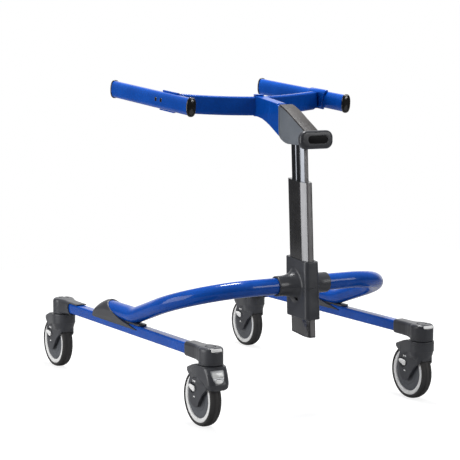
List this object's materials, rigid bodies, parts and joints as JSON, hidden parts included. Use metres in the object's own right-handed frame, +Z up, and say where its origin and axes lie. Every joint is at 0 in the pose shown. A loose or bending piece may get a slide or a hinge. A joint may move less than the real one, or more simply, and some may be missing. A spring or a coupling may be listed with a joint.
{
  "type": "gait trainer",
  "caption": "Wheeled walking frame with swivel casters, side rails, a bowed tube, a telescoping mast with a release paddle, and a yoke of swinging arms with oval tubes.",
  "frame": {"origin": "middle of the bounding box's underside, on the floor under the wheels", "axes": "+Z up; the frame rolls forwards towards -Y, the mast being at the front and the arms reaching back; the user stands between the rails facing -Y, so the user's right is -X"},
  "size_m": [0.622, 0.891, 0.7322],
  "materials": {
    "aluminium": "satin",
    "black_anodised": "anodised, satin",
    "black_plastic": "satin",
    "blue_paint": "gloss",
    "brown_grey_plastic": "satin",
    "grey_plastic": "satin",
    "steel": "brushed",
    "tyre_rubber": "matte",
    "white_plastic": "gloss"
  },
  "bodies": {
    "base_frame": {"bow_tube": "blue_paint", "left_rail": "blue_paint", "right_rail": "blue_paint", "left_saddle": "black_plastic", "right_saddle": "black_plastic", "front_left_elbow": "black_plastic", "front_right_elbow": "black_plastic", "rear_left_elbow": "black_plastic", "rear_right_elbow": "black_plastic", "hub_lower_clamp": "black_plastic", "hub_upper_clamp": "black_plastic", "outer_mast": "black_anodised", "mast_foot": "black_plastic", "gas_spring_rod": "steel"},
    "upper_frame": {"inner_mast": "aluminium", "height_scale": "aluminium", "gas_spring_cylinder": "black_anodised", "head_left_cover": "grey_plastic", "head_right_cover": "grey_plastic", "head_ridge": "brown_grey_plastic", "neck": "blue_paint", "yoke_pin": "blue_paint"},
    "valve_pin": {"valve_pin": "steel"},
    "release_lever": {"release_lever": "black_plastic"},
    "left_bar": {"left_bar": "blue_paint"},
    "left_arm": {"left_bracket": "blue_paint", "left_arm_tube": "blue_paint", "left_front_cap": "black_plastic", "left_rear_cap": "black_plastic"},
    "right_bar": {"right_bar": "blue_paint"},
    "right_arm": {"right_bracket": "blue_paint", "right_arm_tube": "blue_paint", "right_front_cap": "black_plastic", "right_rear_cap": "black_plastic"},
    "front_left_caster": {"front_left_fork": "black_plastic", "front_left_axle": "steel"},
    "front_left_wheel": {"front_left_tyre": "tyre_rubber", "front_left_rim": "white_plastic", "front_left_wheel_core": "black_plastic"},
    "front_left_selector": {"front_left_selector": "white_plastic"},
    "front_right_caster": {"front_right_fork": "black_plastic", "front_right_axle": "steel", "counter_housing": "black_plastic"},
    "front_right_wheel": {"front_right_tyre": "tyre_rubber", "front_right_rim": "white_plastic", "front_right_wheel_core": "black_plastic"},
    "front_right_selector": {"front_right_selector": "white_plastic"},
    "rear_left_caster": {"rear_left_fork": "black_plastic", "rear_left_axle": "steel"},
    "rear_left_wheel": {"rear_left_tyre": "tyre_rubber", "rear_left_rim": "white_plastic", "rear_left_wheel_core": "black_plastic"},
    "rear_left_selector": {"rear_left_selector": "white_plastic"},
    "rear_right_caster": {"rear_right_fork": "black_plastic", "rear_right_axle": "steel"},
    "rear_right_wheel": {"rear_right_tyre": "tyre_rubber", "rear_right_rim": "white_plastic", "rear_right_wheel_core": "black_plastic"},
    "rear_right_selector": {"rear_right_selector": "white_plastic"},
    "counter_button": {"counter_button": "white_plastic"}
  },
  "joints": [
    {"name": "mast_height", "type": "slide", "parent": "base_frame", "child": "upper_frame", "axis": [0, 0.0607, 0.9982], "range_m": [-0.075, 0.085]},
    {"name": "lever_press", "type": "hinge", "parent": "upper_frame", "child": "release_lever", "pos_m": [0, -0.27454, 0.64679], "axis": [1, 0, 0], "range_deg": [0, 4], "stiffness_Nm_per_rad": 1.6, "springref_deg": -6.88},
    {"name": "valve_travel", "type": "slide", "parent": "upper_frame", "child": "valve_pin", "axis": [0, 0.0607, 0.9982], "range_m": [-0.003, 0]},
    {"name": "left_bar_swing", "type": "hinge", "parent": "upper_frame", "child": "left_bar", "pos_m": [0, -0.13084, 0.67864], "axis": [0, 0, 1], "range_deg": [0, 30]},
    {"name": "left_arm_turn", "type": "hinge", "parent": "left_bar", "child": "left_arm", "pos_m": [0.187, -0.08084, 0.68664], "axis": [0, 0, 1], "range_deg": [-30, 0]},
    {"name": "right_bar_swing", "type": "hinge", "parent": "upper_frame", "child": "right_bar", "pos_m": [0, -0.13084, 0.67864], "axis": [0, 0, 1], "range_deg": [-30, 0]},
    {"name": "right_arm_turn", "type": "hinge", "parent": "right_bar", "child": "right_arm", "pos_m": [-0.187, -0.08084, 0.68664], "axis": [0, 0, 1], "range_deg": [0, 30]},
    {"name": "front_left_swivel", "type": "hinge", "parent": "base_frame", "child": "front_left_caster", "pos_m": [0.282, -0.39875, 0.1417], "axis": [0, 0, 1], "continuous": true},
    {"name": "front_left_roll", "type": "hinge", "parent": "front_left_caster", "child": "front_left_wheel", "pos_m": [0.282, -0.36275, 0.0635], "axis": [1, 0, 0], "continuous": true},
    {"name": "front_left_select", "type": "hinge", "parent": "front_left_caster", "child": "front_left_selector", "pos_m": [0.261, -0.36275, 0.0855], "axis": [1, 0, 0], "range_deg": [-30, 30]},
    {"name": "front_right_swivel", "type": "hinge", "parent": "base_frame", "child": "front_right_caster", "pos_m": [-0.282, -0.39875, 0.1417], "axis": [0, 0, 1], "continuous": true},
    {"name": "front_right_roll", "type": "hinge", "parent": "front_right_caster", "child": "front_right_wheel", "pos_m": [-0.282, -0.36275, 0.0635], "axis": [1, 0, 0], "continuous": true},
    {"name": "front_right_select", "type": "hinge", "parent": "front_right_caster", "child": "front_right_selector", "pos_m": [-0.303, -0.36275, 0.0855], "axis": [1, 0, 0], "range_deg": [-30, 30]},
    {"name": "rear_left_swivel", "type": "hinge", "parent": "base_frame", "child": "rear_left_caster", "pos_m": [0.282, 0.34525, 0.1417], "axis": [0, 0, 1], "continuous": true},
    {"name": "rear_left_roll", "type": "hinge", "parent": "rear_left_caster", "child": "rear_left_wheel", "pos_m": [0.282, 0.38125, 0.0635], "axis": [1, 0, 0], "continuous": true},
    {"name": "rear_left_select", "type": "hinge", "parent": "rear_left_caster", "child": "rear_left_selector", "pos_m": [0.261, 0.38125, 0.0855], "axis": [1, 0, 0], "range_deg": [-30, 30]},
    {"name": "rear_right_swivel", "type": "hinge", "parent": "base_frame", "child": "rear_right_caster", "pos_m": [-0.282, 0.34525, 0.1417], "axis": [0, 0, 1], "continuous": true},
    {"name": "rear_right_roll", "type": "hinge", "parent": "rear_right_caster", "child": "rear_right_wheel", "pos_m": [-0.282, 0.38125, 0.0635], "axis": [1, 0, 0], "continuous": true},
    {"name": "rear_right_select", "type": "hinge", "parent": "rear_right_caster", "child": "rear_right_selector", "pos_m": [-0.303, 0.38125, 0.0855], "axis": [1, 0, 0], "range_deg": [-30, 30]},
    {"name": "counter_press", "type": "slide", "parent": "front_right_caster", "child": "counter_button", "axis": [0, 1, 0], "range_m": [0, 0.0015], "stiffness_N_per_m": 500, "springref_m": -0.0008}
  ],
  "couplings": [
    {"joint": "valve_travel", "follows": "lever_press", "m_per_rad": -0.0414},
    {"joint": "left_arm_turn", "follows": "left_bar_swing", "ratio": -1},
    {"joint": "right_arm_turn", "follows": "right_bar_swing", "ratio": -1}
  ]
}
